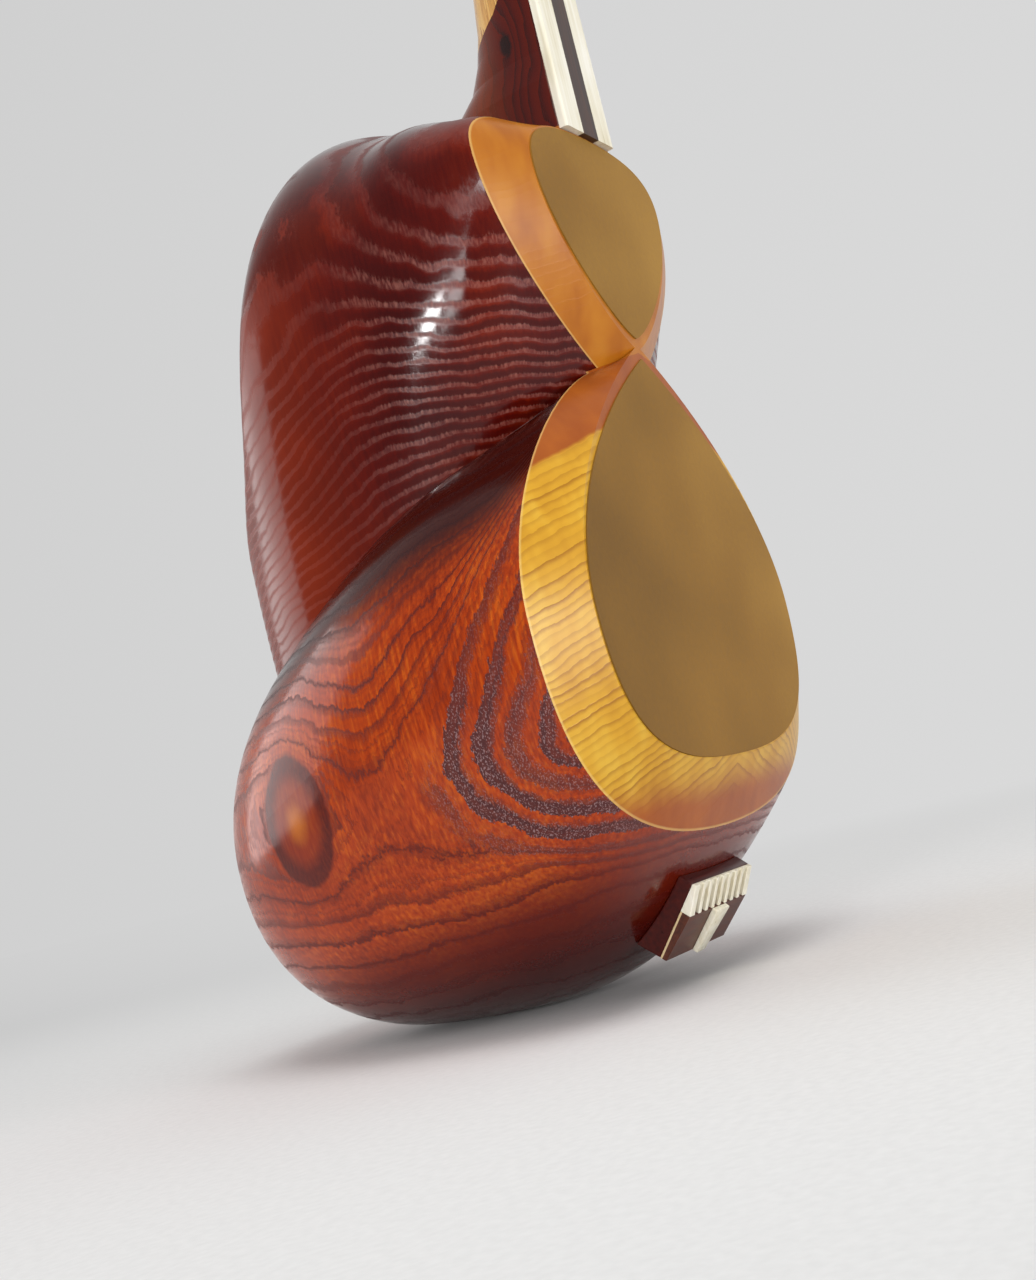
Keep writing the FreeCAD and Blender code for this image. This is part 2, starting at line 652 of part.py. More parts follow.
peg_count = 6
hole_tools = []
pegs = []
for number in range(peg_count):
    height = size("first_peg") + number * size("peg_spacing")
    way = -1 if number % 2 == 0 else 1
    half = head_half(height)
    large = size("peg_large_radius")
    small = large - size("peg_taper_drop")
    end_x = -half - size("peg_end_stand")
    collar_x = half + size("peg_collar_gap")
    taper = (large - small) / (collar_x - end_x)
    turn = FreeCAD.Rotation(Vector(0, 0, 1), 0 if way == 1 else 180)
    local = FreeCAD.Placement(Vector(0, size("peg_axis_depth"), height), turn)
    peg_place = head_place.multiply(local)

    # tapered hole through both cheeks
    hole = doc.addObject("Part::Cone", "peg_hole_%d" % (number + 1))
    clearance = size("peg_clearance")
    reach = size("overrun")
    hole.Radius1 = small - reach * taper + clearance
    hole.Radius2 = large + reach * taper + clearance
    hole.Height = collar_x - end_x + 2 * reach
    along = FreeCAD.Placement(Vector(end_x - reach, 0, 0), FreeCAD.Rotation(Vector(0, 1, 0), 90))
    hole.Placement = peg_place.multiply(along)
    hole_tools.append(hole)

    # peg turned in one piece: shaft, collar, waist, bulb and button
    peg = new_body("peg_%d" % (number + 1))
    profile = new_sketch(peg, "peg_profile_%d" % (number + 1), "XY_Plane", "0")
    waist_x = collar_x + size("peg_collar_length")
    bulb_x = waist_x + size("peg_waist_length")
    bulb_top = bulb_x + size("peg_head_length")
    tip_x = bulb_top + size("peg_button_length")
    bulb = size("peg_head_radius")
    thin = size("peg_waist_radius")
    button = size("peg_button_radius")
    first_share, second_share = peg_bulb_shares
    wide_x = bulb_x + second_share * size("peg_head_length")
    soft_x = bulb_x + first_share * size("peg_head_length")
    chamfer = size("peg_end_round")
    lines = ((end_x, 0), (end_x, small - chamfer), (end_x + chamfer, small), (collar_x, large),
             (collar_x, size("peg_collar_radius")), (waist_x, size("peg_collar_radius")),
             (waist_x, thin), (bulb_x, thin))
    for begin, finish in zip(lines, lines[1:]):
        profile.addGeometry(Part.LineSegment(Vector(*begin, 0), Vector(*finish, 0)), False)
    profile.addGeometry(arch((bulb_x, thin), (soft_x, thin), (soft_x, bulb), (wide_x, bulb)), False)
    dome = quarter_round_share * (bulb_top - wide_x)
    profile.addGeometry(arch((wide_x, bulb), (wide_x + dome, bulb), (bulb_top, bulb - dome),
                             (bulb_top, button)), False)
    lines = ((bulb_top, button), (tip_x - chamfer, button), (tip_x, button - chamfer), (tip_x, 0), (end_x, 0))
    for begin, finish in zip(lines, lines[1:]):
        profile.addGeometry(Part.LineSegment(Vector(*begin, 0), Vector(*finish, 0)), False)
    turned = peg.newObject("PartDesign::Revolution", "peg_turned_%d" % (number + 1))
    turned.Profile = profile
    turned.ReferenceAxis = (profile, ["H_Axis"])
    turned.Angle = 360
    string_hole = new_sketch(peg, "peg_string_hole_%d" % (number + 1), "XZ_Plane", "0")
    string_hole.addGeometry(Part.Circle(Vector(0, 0, 0), Vector(0, 0, 1), size("peg_hole_radius")), False)
    add_pocket(peg, "peg_bore_%d" % (number + 1), string_hole, "4 * dims.peg_large_radius", middle=True)
    peg.Placement = peg_place
    pegs.append(peg)

neck_end = doc.addObject("Part::Box", "below_neck_end")
neck_end.setExpression("Length", "2 * dims.head_width_high")
neck_end.setExpression("Width", "4 * dims.head_back_high")
neck_end.setExpression("Height", "4 * dims.head_root")
neck_end.setExpression("Placement.Base.x", "-dims.head_width_high")
neck_end.setExpression("Placement.Base.y", "-2 * dims.head_back_high")
neck_end.setExpression("Placement.Base.z", "dims.string_length + dims.nut_length - 4 * dims.head_root")
pegbox_tools = fuse("pegbox_tools", hole_tools + [neck_end])
keep(cut("pegbox", pegbox_form, pegbox_tools), "pegbox")

cap = new_body("head_cap")
cap_outline = new_sketch(cap, "head_cap_outline", "XY_Plane", "dims.head_length")
over = size("cap_overhang")
rounded_box(cap_outline, head_half_high + over, -over, size("head_back_high") + over,
            size("head_edge_round") + over)
add_pad(cap, "head_cap_plate", cap_outline, "dims.cap_thickness")
cap_top = size("head_length") + size("cap_thickness")
add_fillet(cap, "head_cap_edge", "dims.cap_round", lambda point: near(point.z, cap_top))
cap.Placement = head_place
keep(cap, "head_cap")
for number, peg in enumerate(pegs):
    keep(peg, "peg_%d" % (number + 1))

# Tailpiece: a grooved bone comb and a dark plate on a lacquered block under the lower bowl.
# It is drawn upright with its back on the local XZ plane, then leant back.
lean_back = FreeCAD.Rotation(Vector(1, 0, 0), tail_tilt_angle)
tail_place = FreeCAD.Placement(Vector(0, size("tail_top_depth"), waist_down("tail_top_drop")), lean_back)
tail_half = size("tail_width") / 2
comb_end = -size("comb_length")
tail_end = -size("tail_length")
comb_foot = size("comb_thickness_foot")

comb = new_body("tail_comb")
comb_side = new_sketch(comb, "tail_comb_profile", "YZ_Plane")
polygon(comb_side, ((0, 0), (-size("comb_thickness_top"), 0),
                    (-comb_foot, comb_end), (0, comb_end)))
add_pad(comb, "tail_comb_bar", comb_side, "dims.tail_width", middle=True)
grooves = new_sketch(comb, "tail_comb_groove", "XZ_Plane", "dims.comb_thickness_foot + dims.overrun")
groove_half = size("comb_groove_width") / 2
first = -(comb_grooves - 1) / 2 * (size("comb_rib_width") + size("comb_groove_width"))
for number in range(comb_grooves):
    centre = first + number * (size("comb_rib_width") + size("comb_groove_width"))
    left = centre - groove_half
    right = centre + groove_half
    polygon(grooves, ((left, comb_end - size("overrun")), (right, comb_end - size("overrun")),
                      (right, size("overrun")), (left, size("overrun"))))
add_pocket(comb, "tail_comb_grooves", grooves,
           "dims.comb_thickness_foot + dims.overrun - dims.comb_floor")
comb.Placement = tail_place
keep(comb, "tail_comb")

plate = new_body("tail_plate")
plate_side = new_sketch(plate, "tail_plate_profile", "YZ_Plane")
polygon(plate_side, ((0, comb_end), (-size("plate_thickness"), comb_end),
                     (-size("plate_tip_thickness"), tail_end), (0, tail_end)))
add_pad(plate, "tail_plate_bar", plate_side, "dims.tail_width", middle=True)
plate.Placement = tail_place
keep(plate, "tail_plate")

tongue_lean = math.degrees(math.atan2(size("plate_thickness") - size("plate_tip_thickness"),
                                      size("tail_length") - size("comb_length")))
tongue = new_body("tail_tongue")
tongue_outline = new_sketch(tongue, "tail_tongue_outline", "XZ_Plane", "0")
tongue_low = -(size("tail_length") - size("comb_length"))
polygon(tongue_outline, ((-size("tongue_width") / 2, 0), (size("tongue_width") / 2, 0),
                         (size("tongue_tip_width") / 2, tongue_low),
                         (-size("tongue_tip_width") / 2, tongue_low)))
add_pad(tongue, "tail_tongue_bar", tongue_outline, "dims.tongue_thickness")
on_plate = FreeCAD.Placement(Vector(0, -size("plate_thickness"), comb_end),
                             FreeCAD.Rotation(Vector(1, 0, 0), tongue_lean))
tongue.Placement = tail_place.multiply(on_plate)
keep(tongue, "tail_tongue")

block_form = new_body("tail_block_form")
block_front = new_sketch(block_form, "tail_block_front", "XZ_Plane", "0")
polygon(block_front, ((-tail_half, 0), (tail_half, 0), (tail_half, tail_end), (-tail_half, tail_end)))
block_back = new_sketch(block_form, "tail_block_back", "XZ_Plane", "-dims.tail_block_depth")
spread = size("tail_block_spread")
polygon(block_back, ((-tail_half - spread, spread), (tail_half + spread, spread),
                     (tail_half + spread, tail_end - spread), (-tail_half - spread, tail_end - spread)))
add_loft(block_form, "tail_block_wedge", [block_front, block_back], ruled=True)
block_form.Placement = tail_place
bowl_seat = bowl_form("bowl_seat", "lower", -size("tail_block_gap"), 0.0, 0.0, 0.0, "dims.skin_thickness")
keep(cut("tail_block", block_form, bowl_seat), "tail_block")

# Frets: gut wound round neck and fingerboard, free to slide for tuning
def fret_outline(sketch, half, back, grow):
    """Closed band outline that hugs neck and board, moved outwards by grow."""
    neck_outline(sketch, half + grow, -size("board_raise") - grow, back + grow,
                 size("neck_side") + size("board_raise") + board_back + grow)


neck_backs = ((seat + size("foot_height"), size("foot_back")),
              (seat + size("flare_low_height"), size("flare_low_back")),
              (seat + size("flare_middle_height"), size("flare_middle_back")),
              (seat + size("flare_high_height"), size("flare_high_back")),
              (seat + size("flare_top_height"), size("neck_back_low")),
              (neck_top, size("neck_back_high")))


def neck_back(height):
    """Depth of the neck's back at a height, along the flare and the taper."""
    for (low, low_back), (high, high_back) in zip(neck_backs, neck_backs[1:]):
        if height <= high:
            return high_back + (low_back - high_back) * (high - height) / (high - low)


for number, octave_share in enumerate(fret_octave_shares):
    middle = "dims.string_length * {0} - dims.fret_width / 2".format(2 ** -octave_share)
    height = size("string_length") * 2 ** -octave_share - size("fret_width") / 2
    back = neck_back(height)
    label = "fret_%02d" % (number + 1)
    fret = new_body(label)
    band = new_sketch(fret, label + "_outline", "XY_Plane", middle)
    fret_outline(band, board_half(height), back, size("fret_clearance"))
    fret_outline(band, board_half(height), back, size("fret_clearance") + size("fret_thickness"))
    add_pad(fret, label + "_band", band, "dims.fret_width")
    keep(fret, label)

doc.recompute()

# Every object must have built, and every sub-part must be one sound solid
for item in doc.Objects:
    if "Invalid" in item.State or "Error" in item.State:
        raise RuntimeError("did not build: " + item.Label)
os.makedirs("parts", exist_ok=True)
for node in nodes:
    shape = node.Shape
    if shape.isNull() or not shape.isValid() or len(shape.Solids) != 1:
        raise RuntimeError("unsound shape: " + node.Label)
    shape.exportStep("parts/" + node.Label + ".step")
    bounds = shape.BoundBox
    print(node.Label, round(shape.Volume), [round(v, 1) for v in (bounds.XMin, bounds.YMin, bounds.ZMin,
                                                                   bounds.XMax, bounds.YMax, bounds.ZMax)])
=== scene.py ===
import bmesh
import bpy
from mathutils import Matrix, Vector


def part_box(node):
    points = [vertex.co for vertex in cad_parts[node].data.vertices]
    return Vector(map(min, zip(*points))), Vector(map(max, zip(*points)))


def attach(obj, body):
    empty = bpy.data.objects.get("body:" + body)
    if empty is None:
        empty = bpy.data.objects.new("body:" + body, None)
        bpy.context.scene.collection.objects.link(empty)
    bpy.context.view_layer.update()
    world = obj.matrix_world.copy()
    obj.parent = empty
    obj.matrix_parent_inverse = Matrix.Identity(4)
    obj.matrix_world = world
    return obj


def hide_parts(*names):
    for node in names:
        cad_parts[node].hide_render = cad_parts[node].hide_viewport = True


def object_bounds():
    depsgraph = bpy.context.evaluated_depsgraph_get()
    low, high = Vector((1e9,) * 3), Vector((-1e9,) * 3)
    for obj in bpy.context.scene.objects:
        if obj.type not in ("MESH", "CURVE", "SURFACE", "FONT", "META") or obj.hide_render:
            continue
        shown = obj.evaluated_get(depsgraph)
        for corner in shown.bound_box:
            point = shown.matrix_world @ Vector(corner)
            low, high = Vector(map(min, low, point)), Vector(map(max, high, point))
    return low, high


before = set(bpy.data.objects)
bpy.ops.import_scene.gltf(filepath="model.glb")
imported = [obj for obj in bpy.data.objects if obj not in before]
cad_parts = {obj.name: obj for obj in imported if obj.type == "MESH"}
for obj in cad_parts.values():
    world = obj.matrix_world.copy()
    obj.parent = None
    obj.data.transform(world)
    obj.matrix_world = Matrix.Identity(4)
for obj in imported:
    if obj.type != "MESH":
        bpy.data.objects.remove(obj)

cad_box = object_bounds()

# ---------------------------------------------------------------- the view
# The instrument stands upright on its lower bowl. It is seen from low on the
# left of its face, a little rolled, with the neck running out of the picture.
view_place = (-0.56384, -0.23699, -0.04882)
view_back = Vector((-0.86818, -0.48524, -0.10391)).normalized()
view_right = Vector((0.49565, -0.83773, -0.22922))
view_right = (view_right - view_back * view_right.dot(view_back)).normalized()
view_up = view_back.cross(view_right)
view_lens = 47.36


def placed(name, held):
    """A new object of the scene that holds a camera, a lamp or a mesh."""
    made = bpy.data.objects.new(name, held)
    bpy.context.scene.collection.objects.link(made)
    return made


camera = placed("camera", bpy.data.cameras.new("camera"))
view_turn = Matrix((view_right, view_up, view_back)).transposed().to_4x4()
camera.matrix_world = Matrix.Translation(view_place) @ view_turn
camera.data.lens = view_lens
camera.data.clip_start = 0.01
bpy.context.scene.camera = camera
bpy.context.scene.view_settings.view_transform = "Standard"

# ------------------------------------------------------- floor and lights
# A pale studio floor runs off into a pale surround, which is dimmer towards
# the left. Soft boxes stand at the left, behind, before the skins and above;
# the small one at the left makes the highlight on the upper bowl.
millimetre = 0.001
surround_level = 0.5
surround_lean = 0.2
floor_radius = 8.0
floor_dull = (0.76, 0.76, 0.755, 1)
floor_bright = (0.8, 0.8, 0.795, 1)
blend_start = 200.0
blend_end = 1100.0
black = (0, 0, 0, 1)
white = (1, 1, 1, 1)


class Field:
    """A value that varies over a surface; arithmetic on it adds the nodes."""

    def __init__(self, finish, socket):
        self.finish = finish
        self.socket = socket

    def math(self, operation, first, second=0.0):
        return self.finish.node("ShaderNodeMath", {"operation": operation}, {0: first, 1: second})

    def __add__(self, other):
        return self.math("ADD", self, other)

    __radd__ = __add__

    def __sub__(self, other):
        return self.math("SUBTRACT", self, other)

    def __rsub__(self, other):
        return self.math("SUBTRACT", other, self)

    def __mul__(self, other):
        return self.math("MULTIPLY", self, other)

    __rmul__ = __mul__

    def __truediv__(self, other):
        return self.math("DIVIDE", self, other)

    def __gt__(self, other):
        return self.math("GREATER_THAN", self, other)

    def __abs__(self):
        return self.math("ABSOLUTE", self)

    def root(self):
        return self.math("SQRT", self)

    def fract(self):
        return self.math("FRACT", self)

    def floor(self):
        return self.math("FLOOR", self)

    def squared(self):
        return self * self

    def exp(self):
        return self.math("EXPONENT", self)

    def held(self):
        """The same value, kept between 0 and 1."""
        return self.finish.node("ShaderNodeClamp", {}, {0: self, 1: 0.0, 2: 1.0})

    def most(self, other):
        return self.math("MAXIMUM", self, other)

    def rise(self, start, end):
        """0 up to start, 1 from end on, and smooth between."""
        return self.finish.node("ShaderNodeMapRange", {"interpolation_type": "SMOOTHSTEP"},
                                {0: self, 1: start, 2: end, 3: 0.0, 4: 1.0})

    def tones(self, *stops):
        """A ramp of (place, colour) stops read at this value."""
        return self.finish.node("ShaderNodeValToRGB", {"stops": stops}, {0: self})


class Shading:
    """The nodes of one material or of the surround."""

    def __init__(self, tree):
        self.tree = tree

    def node(self, kind, settings=None, sockets=None, output=0):
        """One node, its settings made first, then its sockets; gives one of its outputs."""
        made = self.tree.nodes.new(kind)
        for key, value in (settings or {}).items():
            if key == "stops":
                ramp = made.color_ramp
                while len(ramp.elements) < len(value):
                    ramp.elements.new(1.0)
                for element, (where, colour) in zip(ramp.elements, value):
                    element.position = where
                    element.color = colour
            else:
                setattr(made, key, value)
        for key, value in (sockets or {}).items():
            if isinstance(value, Field):
                self.tree.links.new(value.socket, made.inputs[key])
            else:
                made.inputs[key].default_value = value
        return Field(self, made.outputs[output])

    def mix(self, share, first, second):
        """The first colour, turning to the second as share goes from 0 to 1."""
        return self.node("ShaderNodeMix", {"data_type": "RGBA"},
                         {0: share, 6: first, 7: second}, 2)

    def close(self, shader, end):
        """Lead the finished shader into the tree's last node."""
        self.tree.links.new(shader.socket, self.tree.nodes.new(end).inputs[0])


class Finish(Shading):
    """One finish, with its place on the piece in millimetres."""

    def __init__(self, name):
        self.material = bpy.data.materials.new(name)
        self.material.use_nodes = True
        super().__init__(self.material.node_tree)
        self.tree.nodes.clear()
        here = self.node("ShaderNodeTexCoord", output="Object")
        self.place = self.node("ShaderNodeVectorMath", {"operation": "SCALE"},
                               {0: here, "Scale": 1 / millimetre})
        self.x, self.y, self.z = (self.node("ShaderNodeSeparateXYZ", {}, {0: self.place}, axis)
                                  for axis in range(3))

    def noise(self, period, detail=2.0, stretch=(1, 1, 1), warp=0.0):
        """Cloudy variation around 0 whose patches are about a period wide."""
        place = self.node("ShaderNodeMapping", {},
                          {0: self.place, "Scale": tuple(1 / long for long in stretch)})
        cloud = self.node("ShaderNodeTexNoise", {}, {
            "Vector": place, "Scale": 1 / period, "Detail": detail, "Distortion": warp})
        return cloud - 0.5

    def bump(self, height, depth):
        """Relief from a height of about 0 to 1, as deep as depth in millimetres."""
        return self.node("ShaderNodeBump", {}, {
            "Strength": 1.0, "Distance": depth * millimetre, "Height": height})

    def surface(self, sockets):
        self.close(self.node("ShaderNodeBsdfPrincipled", {}, sockets), "ShaderNodeOutputMaterial")
        return self.material


floor_height = cad_box[0][2]
floor_form = bmesh.new()
bmesh.ops.create_circle(floor_form, cap_ends=True, segments=96, radius=floor_radius)
bmesh.ops.translate(floor_form, verts=floor_form.verts, vec=(0, 0, floor_height))
floor_mesh = bpy.data.meshes.new("studio_floor")
floor_form.to_mesh(floor_mesh)
floor_form.free()
studio_floor = placed("studio_floor", floor_mesh)
floor_finish = Finish("studio_floor")
away = floor_finish.node("ShaderNodeVectorMath", {"operation": "LENGTH"},
                         {0: floor_finish.place}, "Value")
floor_pale = floor_finish.mix(floor_finish.x / away * surround_lean + surround_level, black, white)
floor_grain = floor_finish.noise(3.0, 3.0)
floor_shade = (floor_grain + 0.5).tones((0.3, floor_dull), (0.7, floor_bright))
floor_paint = floor_finish.node("ShaderNodeBsdfDiffuse", {}, {0: floor_shade})
floor_glow = floor_finish.node("ShaderNodeEmission", {}, {0: floor_pale, 1: 1.0})
floor_blend = floor_finish.node("ShaderNodeMixShader", {}, {
    0: away.rise(blend_start, blend_end), 1: floor_paint, 2: floor_glow})
floor_finish.close(floor_blend, "ShaderNodeOutputMaterial")
studio_floor.data.materials.append(floor_finish.material)

world = bpy.data.worlds.new("studio_surround")
bpy.context.scene.world = world
world.use_nodes = True
world.node_tree.nodes.clear()
surround = Shading(world.node_tree)
look = surround.node("ShaderNodeTexCoord", output="Generated")
look_right = surround.node("ShaderNodeSeparateXYZ", {}, {0: look})
surround_pale = surround.mix(look_right * surround_lean + surround_level, black, white)
surround.close(surround.node("ShaderNodeBackground", {}, {0: surround_pale, 1: 1.0}),
               "ShaderNodeOutputWorld")


def soft_lamp(name, place, aim, wide, tall, power):
    """A soft box, sized in metres and powered in watts, that looks at a place."""
    lamp = bpy.data.lights.new(name, "AREA")
    lamp.shape = "RECTANGLE"
    lamp.size = wide
    lamp.size_y = tall
    lamp.energy = power
    turn = (Vector(aim) - Vector(place)).to_track_quat("-Z", "Y").to_matrix().to_4x4()
    placed(name, lamp).matrix_world = Matrix.Translation(place) @ turn


soft_lamp("side_lamp", (-1.31, -0.135, 0.05), (-0.07, 0.04, 0.08), 0.16, 0.12, 6.8)
soft_lamp("low_lamp", (-1.25, -0.45, 0.0), (-0.09, 0.02, 0.0), 0.3, 0.22, 3.0)
soft_lamp("rear_lamp", (-0.25, 1.5, 0.3), (0.0, 0.1, 0.05), 1.1, 1.1, 8.0)
soft_lamp("face_lamp", (0.05, -1.65, 0.05), (0.0, 0.0, 0.05), 0.6, 0.5, 15.0)
soft_lamp("top_lamp", (-0.5, -0.5, 1.9), (0.0, 0.05, 0.0), 1.0, 1.0, 16.0)

# ------------------------------------------------------------------ bowls
# Two halves carved from figured mulberry and glued on the middle line. The
# outside is stained red and lacquered to a gloss. The sloped rim round the
# skins stays golden, with a painted highlight, a fine pale line, along both of its edges.
rim_depth_low = 12.0
rim_depth_high = 10.0
waist = 108.0
ring_knot_depth = 12.0
ring_knot_height = -28.0
eye_depth = 124.0
eye_height = -32.0
mulberry = Finish("lacquered_mulberry")
side = abs(mulberry.x)
depth = mulberry.y
height = mulberry.z


def linear(red, green, blue):
    """A colour as seen in a picture, 0 to 255, in the shader's own scale."""
    seen = [channel / 255 for channel in (red, green, blue)]
    return tuple(((c + 0.055) / 1.055) ** 2.4 if c > 0.04 else c / 12.92 for c in seen) + (1.0,)


def dress(piece, material):
    """Give a piece one finish."""
    piece.data.materials.clear()
    piece.data.materials.append(material)


def growth(deep, tall, level, slopes, bends, knots):
    """Growth layers, counted over a bowl's depth and height and bent round its knots.

    The count is level at the place (deep, tall); slopes and bends say how it goes
    on from there, and a knot is its depth, its height, its reach and its pull.
    """
    field_unit = 50.0
    soft_turn = 0.25
    along = (depth - deep) / field_unit
    rising = (height - tall) / field_unit
    far_along = along.squared()
    far_rising = rising.squared()
    count = level + along * slopes[0] + rising * slopes[1]
    count = count + (far_along + soft_turn).root() * bends[0]
    count = count + along * rising / (1.0 + far_along + far_rising).root() * bends[1]
    count = count + (far_rising + soft_turn).root() * bends[2]
    for knot_deep, knot_tall, reach, pull in knots:
        off = (depth - knot_deep).squared() + (height - knot_tall).squared()
        count = count + (off * (-1 / reach ** 2)).exp() * pull
    return count


low_layers = growth(deep=60, tall=-20, level=-2.04, slopes=(0.88, 0.96), bends=(-0.15, 1.73, 8.25),
                    knots=((12, -35, 22, -1.24), (12, -35, 45, 0.57), (124, -32, 26, -0.7),
                           (85, -20, 35, 2.32), (70, 20, 30, 1.54)))
high_layers = growth(deep=60, tall=120, level=1.11, slopes=(-0.86, -7.02), bends=(-0.98, 3.0, 6.48),
                     knots=((18, 172, 25, 1.1), (18, 172, 45, -2.98), (75, 100, 30, 2.31)))

# how the layers wave, how their edges fray, and how the wood streaks and clouds
sway = mulberry.noise(46.0) * 1.5 + mulberry.noise(13.0) * 0.75 + mulberry.noise(4.0) * 0.26
fray = mulberry.noise(0.9, 3.0, (1, 1, 3.5))
ragged = mulberry.noise(1.8, 3.0, (1, 1, 2.0)) * 0.2
streak = mulberry.noise(1.3, 3.0, (1, 1, 9))
blotch = mulberry.noise(34.0, 1.0)


def rings(layers, first, last, fade):
    """Dark late wood that gathers to the end of each layer; fade makes some rings fainter."""
    through = layers.fract()
    dark = through.rise(first, last) * (1 - through.rise(0.95, 1.0))
    strength = mulberry.node("ShaderNodeTexWhiteNoise", {"noise_dimensions": "1D"},
                             {"W": layers.floor()})
    return dark * (strength * fade + (1 - fade))


# the crease where the bowls meet falls from the waist to the back of the lower
# bowl; this is the height over it, below 0 on the lower bowl
crease_top = 96.0
crease_slope = 0.475
crease_front = (depth * (1 / 18)).squared()
crease_back = ((depth - 125.0) * (1 / 25)).squared()
over_crease = height + depth * crease_slope - crease_top - (crease_front * -1.0).exp() * 14.0
over_crease = over_crease + (crease_back * -1.0).exp() * 2.0

# the lower bowl: broad purple brown rings round one knot, an eye behind it,
# orange wood between, redder and darker towards the floor (partly stain, partly
# painted shade), and painted shade nearly black under the crease
late_brown = linear(88, 20, 8)
late_purple = linear(70, 28, 28)
pore_lilac_glint = linear(170, 140, 142)
eye_stain = linear(112, 30, 6)
eye_edge = linear(70, 14, 10)
eye_heart = linear(186, 104, 24)
foot_red = linear(84, 12, 4)
foot_dark_stain_and_shade = linear(50, 4, 4)
crease_shade = linear(40, 4, 4)
knot_ring_gap = 11.2
above_knot = height - ring_knot_height
below_knot = (0.0 - above_knot).most(0.0) * 1.35
knot_reach = (((depth - ring_knot_depth).squared() + below_knot.squared()).root()
              + above_knot.most(0.0) * 0.58)
core = 1 - knot_reach.rise(46.0, 62.0)
low_count = low_layers + (knot_reach / knot_ring_gap - low_layers) * core
low_count = low_count + sway * (1 - core * 0.3) + fray * 0.4 + ragged
broad = core * (1 - above_knot.rise(2.0, 42.0) * 0.75)
low_ring = rings(low_count, 0.5 - broad * 0.3, 0.88 - broad * 0.33, 0.4)
low_fine = rings(low_count * 3.3, 0.3, 0.9, 0.8) * 0.55
eye = ((depth - eye_depth).squared() + (height - eye_height).squared() * 0.62).root()
eye = eye + sway * 4.0 + ragged * 5.0
outside_eye = eye.rise(15.5, 21.0)
figure = (low_ring * (0.72 + broad * 0.28) + low_fine * (1 - broad * 0.5)).held()
figure = figure * (outside_eye * 0.8 + 0.2)
low_wood = (streak * 1.3 + blotch * 0.8 + 0.5).tones(
    (0.1, linear(186, 84, 14)), (0.5, linear(158, 54, 6)), (0.9, linear(122, 33, 3)))
low_dark = mulberry.mix(broad, late_brown, late_purple)
low_wood = mulberry.mix(figure, low_wood, low_dark)
# pale lilac specks of the open pores in the dark rings: the pores are real, and their paleness is
# partly a painted glint
open_pore = mulberry.noise(0.5, 1.0, (1, 1, 1.6)).rise(0.03, 0.16) * low_ring * broad
low_wood = mulberry.mix(open_pore * 0.5, low_wood, pore_lilac_glint)
eye_gold = 1 - eye.rise(1.0, 7.5)
eye_ring = eye.rise(9.0, 15.0) * (1 - eye.rise(17.0, 18.5))
low_wood = mulberry.mix((1 - outside_eye) * 0.7, low_wood, eye_stain)
low_wood = mulberry.mix(eye_ring * (0.8 + fray * 0.8), low_wood, eye_edge)
low_wood = mulberry.mix(eye_gold * 0.75, low_wood, eye_heart)
# painted shade with a stain: the lower bowl turns redder and then darker towards the floor, partly
# a sunburst stain and partly painted shade under the bowl
ground = height + depth * 0.2 + sway * 3.0
low_wood = mulberry.mix((1 - ground.rise(-74.0, -50.0)) * 0.85, low_wood, foot_red)
low_wood = mulberry.mix((1 - ground.rise(-92.0, -66.0)) * 0.8, low_wood, foot_dark_stain_and_shade)
# painted shade: the top of the lower bowl under the crease, where it turns away into the valley, is
# made nearly black
crease_shade_mask = (over_crease - depth * 0.2 + 14.0 + sway * 3.0).rise(-44.0, -20.0)
low_wood = mulberry.mix(crease_shade_mask * 0.95, low_wood, crease_shade)

# the upper bowl: mahogany red, with level lines of open pores that wave and
# fade towards its top and its back. The dark rings, and a painted pale sheen on
# the pore lines, show most in the zone round the highlight of the small soft box
back_red = linear(132, 40, 4)
late_red = linear(48, 2, 2)
sheen_pale = linear(164, 104, 90)
high_count = high_layers + sway + fray * 0.2
high_ring = rings(high_count, 0.3, 0.62, 0.35)
high_wood = (streak * 0.6 + blotch * 1.5 + 0.5).tones(
    (0.15, linear(106, 24, 4)), (0.5, linear(86, 10, 2)), (0.85, linear(68, 3, 1)))
crown = (height + sway * 4.0).rise(138.0, 166.0)
swayed_depth = depth + sway * 8.0
# the zone round the highlight of the small soft box, where the rings show most and the pore lines
# carry a painted sheen
sheen_zone = (1 - swayed_depth.rise(50.0, 88.0)) * (1 - crown * 0.88) * 0.88 + 0.12
back_glow = swayed_depth.rise(70.0, 130.0)
high_wood = mulberry.mix(back_glow * 0.65, high_wood, back_red)
high_wood = mulberry.mix(high_ring * (sheen_zone * 0.75).most(crown * 0.6), high_wood, late_red)
# painted sheen: pale lines along the open pores, strongest round the highlight
pore_line = (high_count + 0.45).fract()
pore_line = pore_line.rise(0.25, 0.5) * (1 - pore_line.rise(0.6, 0.85))
pore_sheen = pore_line * (fray + 0.5).rise(0.35, 0.75) * sheen_zone
high_wood = mulberry.mix(pore_sheen * 0.4, high_wood, sheen_pale)

